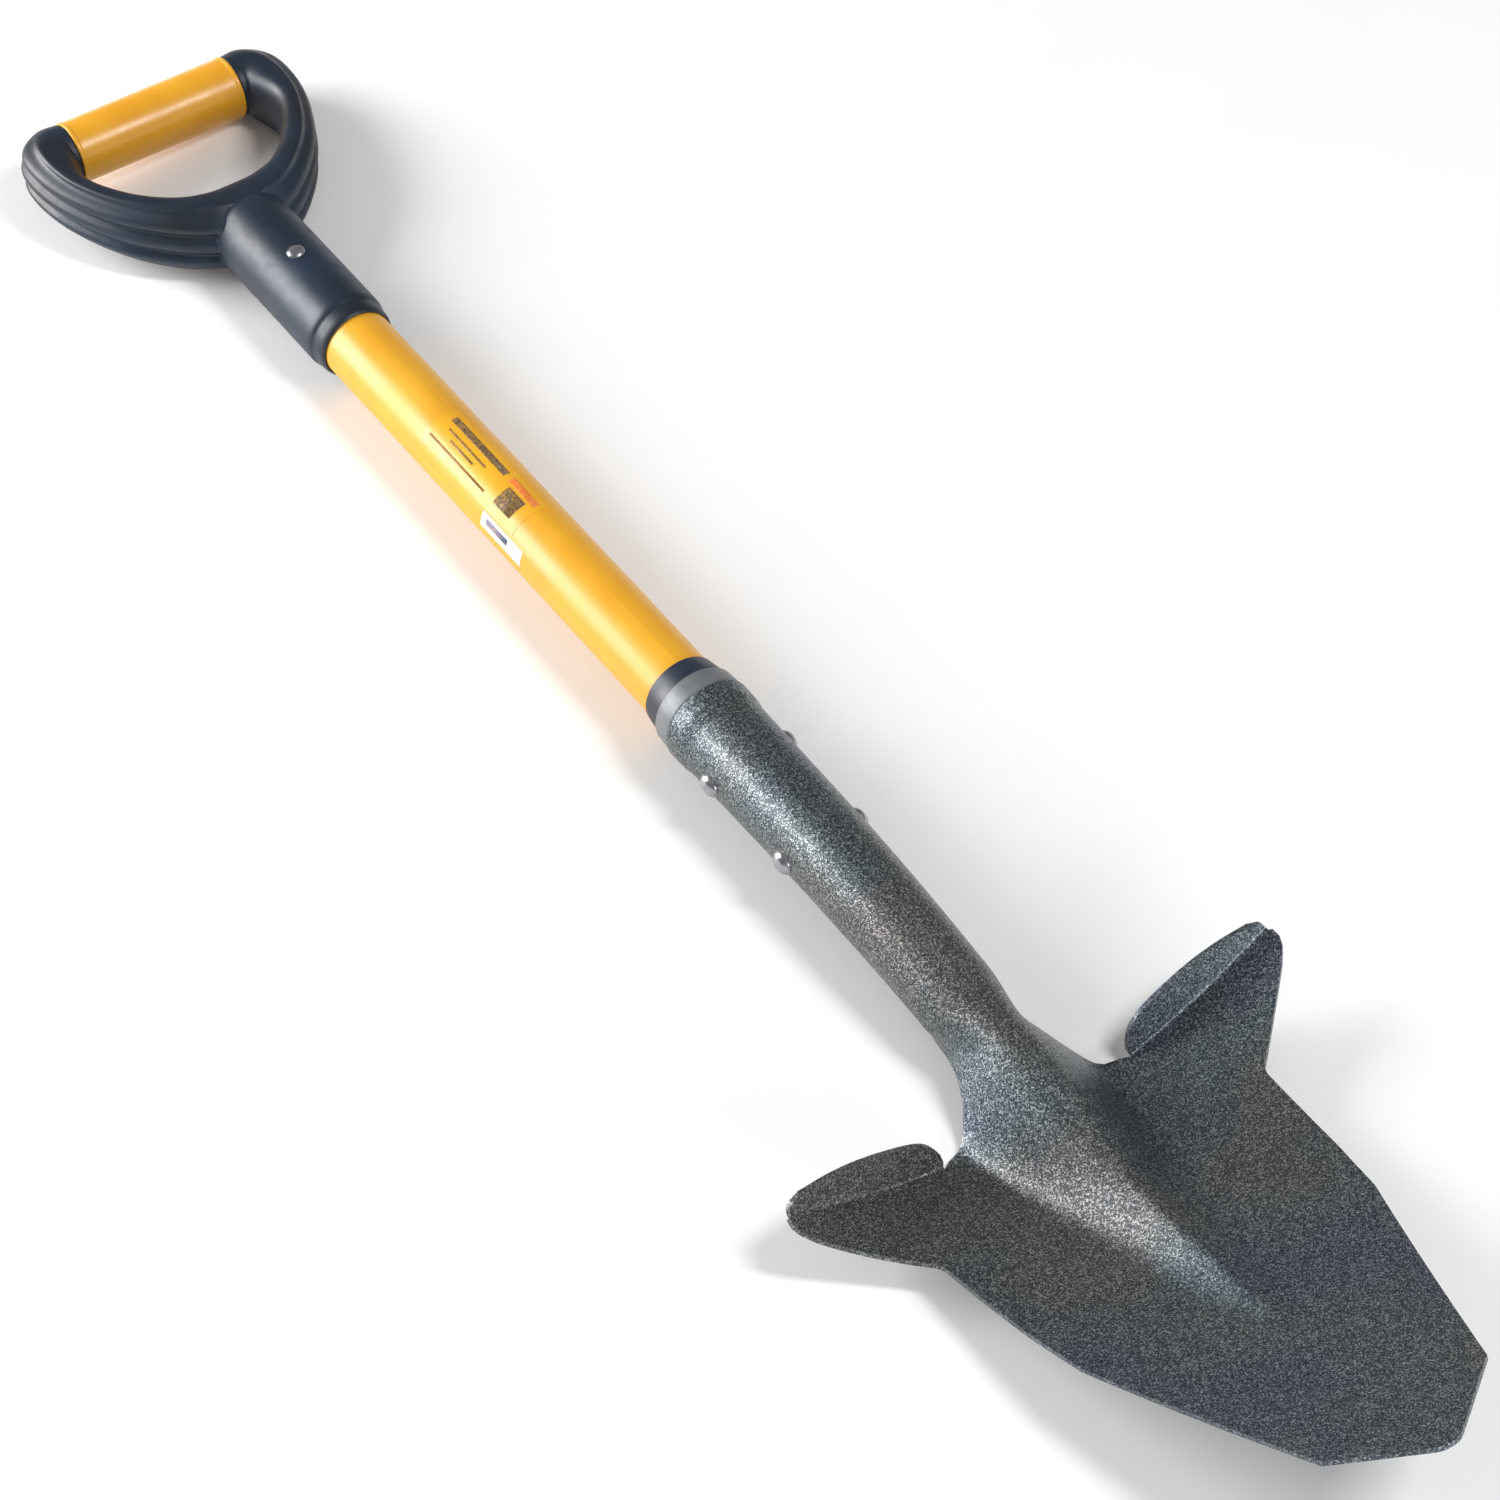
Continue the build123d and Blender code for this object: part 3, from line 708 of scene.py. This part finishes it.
# the yoke's shank with its blind bore, as x and radius
SHANK_PROFILE = ((-284.0, 0.01), (-284.0, 12.5), (-281.5, 16.8), (-276.5, 19.6), (-268, 20.9),
                 (-258, SHANK_R), (-180.5, SHANK_R), (-178.5, 21.0), (-177, 20.2), (-171, 19.9),
                 (-169, 19.4), (SHANK_END_X, 18.6), (SHANK_END_X, SHAFT_R + FIT_GAP),
                 (SHAFT_TOP_X, SHAFT_R + FIT_GAP), (SHAFT_TOP_X, 0.01))
YOKE_VOXEL = 0.6
SLEEVE_LIP = 0.45          # how far the lip at each end of the hand grip stands out


def make_grip_yoke():
    shank = turned(SHANK_PROFILE, (0, 0, 0), (1, 0, 0), (0, 1, 0), ROUND_SEGMENTS)
    points, faces = join(arm_mesh(1), arm_mesh(-1), shank)
    piece = add_piece("grip_yoke_moulding", twisted(points), faces, finishes["dark_moulding"],
                      "dark_moulding", ["grip_yoke"])
    union = piece.modifiers.new("union", "REMESH")
    union.mode = "VOXEL"
    union.voxel_size = YOKE_VOXEL * MM
    union.use_smooth_shade = True
    soften = piece.modifiers.new("soften", "SMOOTH")
    soften.factor = 0.5
    soften.iterations = 4


def make_grip_sleeve():
    half = GRIP_HALF_LENGTH - FIT_GAP
    bore = GRIP_BAR_R + FIT_GAP
    lip_r = GRIP_R + SLEEVE_LIP
    profile = ((-half, bore), (-half, GRIP_R), (-half + 0.6, lip_r), (-half + 1.8, lip_r),
               (-half + 2.4, GRIP_R), (half - 2.4, GRIP_R), (half - 1.8, lip_r), (half - 0.6, lip_r),
               (half, GRIP_R), (half, bore))
    points, faces = turned(profile, (GRIP_X, 0, 0), (0, 1, 0), (0, 0, 1), ROUND_SEGMENTS)
    piece = add_piece("grip_sleeve_moulding", twisted(points), faces, finishes["yellow_grip"], "yellow_grip",
                      ["grip_sleeve"])
    soften_edges(piece, SMALL_EDGE, angle=20)


# ---------------------------------------------------------------- collar, ring and rivets
COLLAR_BORE = SHAFT_R + FIT_GAP
RING_X = (FERRULE_X + FIT_GAP, MOUTH_X - FIT_GAP)
RING_BORE = SLEEVE_R + FIT_GAP
# sections as x and radius
COLLAR_PROFILE = ((COLLAR_X, COLLAR_BORE), (COLLAR_X, 18.4), (COLLAR_X + 0.5, 18.8), (FERRULE_X, 20.4),
                  (FERRULE_X, SLEEVE_R), (COLLAR_END_X, SLEEVE_R - 0.2), (COLLAR_END_X, COLLAR_BORE))
RING_PROFILE = ((RING_X[0], RING_BORE), (RING_X[0], 20.8), (RING_X[0] + 0.8, 21.4), (RING_X[1] - 1.2, 22.0),
                (RING_X[1], 21.5), (RING_X[1], RING_BORE))
# rivets: radius of the shank, radius of the head, height of the dome
SOCKET_RIVET = (3.2, 6.0, 4.2)
GRIP_RIVET = (2.5, 4.6, 2.2)
SOCKET_SEAT = 0.4          # how far a head is seated outside the middle of the socket's steel
GRIP_SEAT = 0.6            # how far a head is seated inside the shank's outside
HEAD_SINK = 1.0            # how far a head's rim runs in below its seat
DOME_TURNS = (0.001, 1.25)  # angles from the rivet's axis that the dome covers, in radians
RIM_SHARE = 0.12           # height of the rim's top, as a share of the dome's
DOME_STEPS = 9
RIVET_SEGMENTS = 48


def make_collar_and_ring():
    points, faces = turned(COLLAR_PROFILE, (0, 0, 0), (1, 0, 0), (0, 1, 0), ROUND_SEGMENTS)
    piece = add_piece("socket_collar_moulding", points, faces, finishes["dark_moulding"], "dark_moulding",
                      ["socket_collar"])
    soften_edges(piece, SMALL_EDGE)
    points, faces = turned(RING_PROFILE, (0, 0, 0), (1, 0, 0), (0, 1, 0), ROUND_SEGMENTS)
    piece = add_piece("ferrule_ring_band", points, faces, finishes["grey_ring_steel"], "grey_ring_steel",
                      ["ferrule_ring"])
    soften_edges(piece, SMALL_EDGE)


def rivet_mesh(x, axis, seat, shank_r, head_r, head_height):
    """A through rivet with a domed head at each end, turned about its axis."""
    dome = [(seat + head_height * cos(a), head_r * sin(a)) for a in steps(*DOME_TURNS, DOME_STEPS)]
    inner = seat - HEAD_SINK
    rim = [(seat + head_height * RIM_SHARE, head_r), (inner, head_r), (inner, shank_r)]
    half = dome + rim
    profile = half + [(-a, r) for a, r in reversed(half)]
    return turned(profile, (x, 0, 0), axis, (1, 0, 0), RIVET_SEGMENTS)


def make_rivets():
    for number, x in enumerate(RIVET_XS, start=1):
        seat = MOUTH_R - SOCKET_TAPER * (x - MOUTH_X) + SOCKET_SEAT
        points, faces = rivet_mesh(x, (0, 1, 0), seat, *SOCKET_RIVET)
        crisp_edges(add_piece(f"socket_rivet_{number}_zinc", points, faces, finishes["zinc_rivet"],
                              "zinc_rivet", [f"socket_rivet_{number}"]))
    points, faces = rivet_mesh(GRIP_RIVET_X, (0, 0, 1), SHANK_R - GRIP_SEAT, *GRIP_RIVET)
    crisp_edges(add_piece("grip_rivet_zinc", points, faces, finishes["zinc_rivet"], "zinc_rivet",
                          ["grip_rivet"]))


# ---------------------------------------------------------------- printed film on the shaft
# x span, turn of the middle from the front and arc, the last two in degrees
LABEL_X = (-85.0, -5.0)
LABEL_TURN = 14.0
LABEL_ARC = 78.0
STICKER_X = (-28.0, 6.0)
STICKER_TURN = 70.0
STICKER_ARC = 26.0
INKS = {"dark_ink": (0.05, 0.035, 0.03), "brown_ink": (0.20, 0.10, 0.03), "orange_ink": (0.75, 0.16, 0.02),
        "blue_ink": (0.10, 0.16, 0.32)}
# plain bars and a block that stand in for print: name, x span, turn, arc and ink
LABEL_MARKS = (("title_bar", (-80, -34), -8, 12, "dark_ink"),
               ("title_end_bar", (-30, -8), -8, 12, "orange_ink"),
               ("line_bar_1", (-76, -44), 10, 4, "brown_ink"),
               ("line_bar_2", (-70, -50), 21, 4, "brown_ink"),
               ("line_bar_3", (-82, -34), 36, 4, "brown_ink"),
               ("block", (-26, -12), 20, 34, "dark_ink"))
STICKER_BAR_X = (-24, -6)
STICKER_BAR_TURN = STICKER_TURN - 2
STICKER_BAR_ARC = 10


def wrapped(x_span, turns, radius, thickness):
    """A thin patch on the shaft between two stations and two turns from the front, in degrees."""
    count = max(2, round(abs(turns[1] - turns[0]) / 2))
    points, faces = [], []
    for r in (radius, radius + thickness):
        for x in x_span:
            for turn in steps(*turns, count):
                points.append((x, -r * sin(radians(turn)), r * cos(radians(turn))))
    row = count + 1
    for i in range(count):
        for a, b in ((0, row), (2 * row, 3 * row), (0, 2 * row), (row, 3 * row)):
            faces.append((a + i, a + i + 1, b + i + 1, b + i))
    for i in (0, count):
        faces.append((i, row + i, 3 * row + i, 2 * row + i))
    return points, faces


def around(turn, arc):
    return (turn - arc / 2, turn + arc / 2)


def make_films():
    label = add_piece("shaft_label_film", *wrapped(LABEL_X, around(LABEL_TURN, LABEL_ARC), SHAFT_R, FILM),
                      finishes["printed_label"], "printed_label", ["shaft_label"])
    sticker = add_piece("shaft_sticker_paper",
                        *wrapped(STICKER_X, around(STICKER_TURN, STICKER_ARC), SHAFT_R, FILM),
                        finishes["paper_sticker"], "paper_sticker", ["shaft_sticker"])
    crisp_edges(label)
    crisp_edges(sticker)
    inks = {name: ink(name, colour) for name, colour in INKS.items()}
    top = SHAFT_R + FILM
    for name, x_span, turn, arc, colour in LABEL_MARKS:
        bar = add_piece(f"label_{name}", *wrapped(x_span, around(turn, arc), top, FILM / 3), inks[colour],
                        "printed_label")
        bar.parent = label
    sticker_mark = wrapped(STICKER_BAR_X, around(STICKER_BAR_TURN, STICKER_BAR_ARC), top, FILM / 3)
    bar = add_piece("sticker_bar", *sticker_mark, inks["blue_ink"], "paper_sticker")
    bar.parent = sticker


make_blade_head()
make_grip_yoke()
make_grip_sleeve()
make_collar_and_ring()
make_rivets()
make_films()

NODE_FINISH = {"shaft_tube": "yellow_fibreglass", "ferrule_insert": "hidden_plug",
               "grip_insert": "hidden_plug", "grip_bar": "hidden_bar_steel",
               "blade_head": "powder_coated_steel", "ferrule_ring": "grey_ring_steel",
               "socket_collar": "dark_moulding", "grip_yoke": "dark_moulding",
               "grip_sleeve": "yellow_grip", "socket_rivet_1": "zinc_rivet",
               "socket_rivet_2": "zinc_rivet", "grip_rivet": "zinc_rivet",
               "shaft_label": "printed_label", "shaft_sticker": "paper_sticker"}
for node, finish in NODE_FINISH.items():
    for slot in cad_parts[node].material_slots:
        slot.material = finishes[finish]

# ---------------------------------------------------------------- floor, light and camera
FLOOR_SIZE = 12.0          # metres
LIGHT_AIM_X = 150          # the lights look at this place on the shaft's line
# softboxes: name, direction in the tool's frame, distance and size in metres, power in watts
SOFTBOXES = (("key", (-0.76, -0.60, 0.34), 2.4, (1.4, 1.5), 84),
             ("top", (0.43, 0.36, 0.83), 2.7, (0.35, 0.9), 36),
             ("front", (0.93, 0.05, 0.18), 2.4, (1.4, 0.7), 30))
WORLD_STRENGTH = 0.25


def make_floor():
    f = Finish("studio_floor")
    colour = f.ramp(f.noise(3, 3), (0.3, 0.90), (0.7, 0.93))
    f.feed(Base_Color=colour, Roughness=f.ramp(f.noise(20, 3), (0.3, 0.7), (0.7, 0.85)))
    mesh = bpy.data.meshes.new("floor")
    half = FLOOR_SIZE / 2
    mesh.from_pydata([(-half, -half, 0), (half, -half, 0), (half, half, 0), (-half, half, 0)], [],
                     [(0, 1, 2, 3)])
    mesh.materials.append(f.material)
    floor = bpy.data.objects.new("floor", mesh)
    bpy.context.scene.collection.objects.link(floor)


def add_softbox(name, direction, distance, size, power):
    """An area light that looks at the tool from a direction in the tool's frame."""
    lamp = bpy.data.lights.new(name, "AREA")
    lamp.shape = "RECTANGLE"
    lamp.size, lamp.size_y = size
    lamp.energy = power
    holder = bpy.data.objects.new(name, lamp)
    bpy.context.scene.collection.objects.link(holder)
    aim = to_world(LIGHT_AIM_X, 0, 0)
    away = turn_to_world @ Vector(direction).normalized()
    holder.location = aim + away * distance
    holder.rotation_mode = "QUATERNION"
    holder.rotation_quaternion = away.to_track_quat("Z", "Y")


def make_light():
    for softbox in SOFTBOXES:
        add_softbox(*softbox)
    world = bpy.data.worlds.new("studio")
    world.use_nodes = True
    background = world.node_tree.nodes["Background"]
    background.inputs["Color"].default_value = (1, 1, 1, 1)
    background.inputs["Strength"].default_value = WORLD_STRENGTH
    bpy.context.scene.world = world
    bpy.context.scene.view_settings.view_transform = "Standard"


CAMERA_AIM = (162.3, 4.9, 0)
CAMERA_DISTANCE = 2244.1
CAMERA_AZIMUTH = 60.05     # degrees round from -y towards +x
CAMERA_ELEVATION = 49.05
CAMERA_ROLL = 5.69
CAMERA_LENS = 120.5
SENSOR = 36.0


def make_camera():
    azimuth = radians(CAMERA_AZIMUTH)
    elevation = radians(CAMERA_ELEVATION)
    away = Vector((sin(azimuth) * cos(elevation), -cos(azimuth) * cos(elevation), sin(elevation)))
    right = Vector((0, 0, 1)).cross(away).normalized()
    up = away.cross(right)
    roll = radians(CAMERA_ROLL)
    right, up = right * cos(roll) - up * sin(roll), up * cos(roll) + right * sin(roll)
    lens = bpy.data.cameras.new("camera")
    lens.sensor_width = SENSOR
    lens.lens = CAMERA_LENS
    camera = bpy.data.objects.new("camera", lens)
    turn = turn_to_world @ Matrix((right, up, away)).transposed()
    place = to_world(*(Vector(CAMERA_AIM) + away * CAMERA_DISTANCE))
    camera.matrix_world = Matrix.Translation(place) @ turn.to_4x4()
    bpy.context.scene.collection.objects.link(camera)
    bpy.context.scene.camera = camera


make_floor()
make_light()
make_camera()
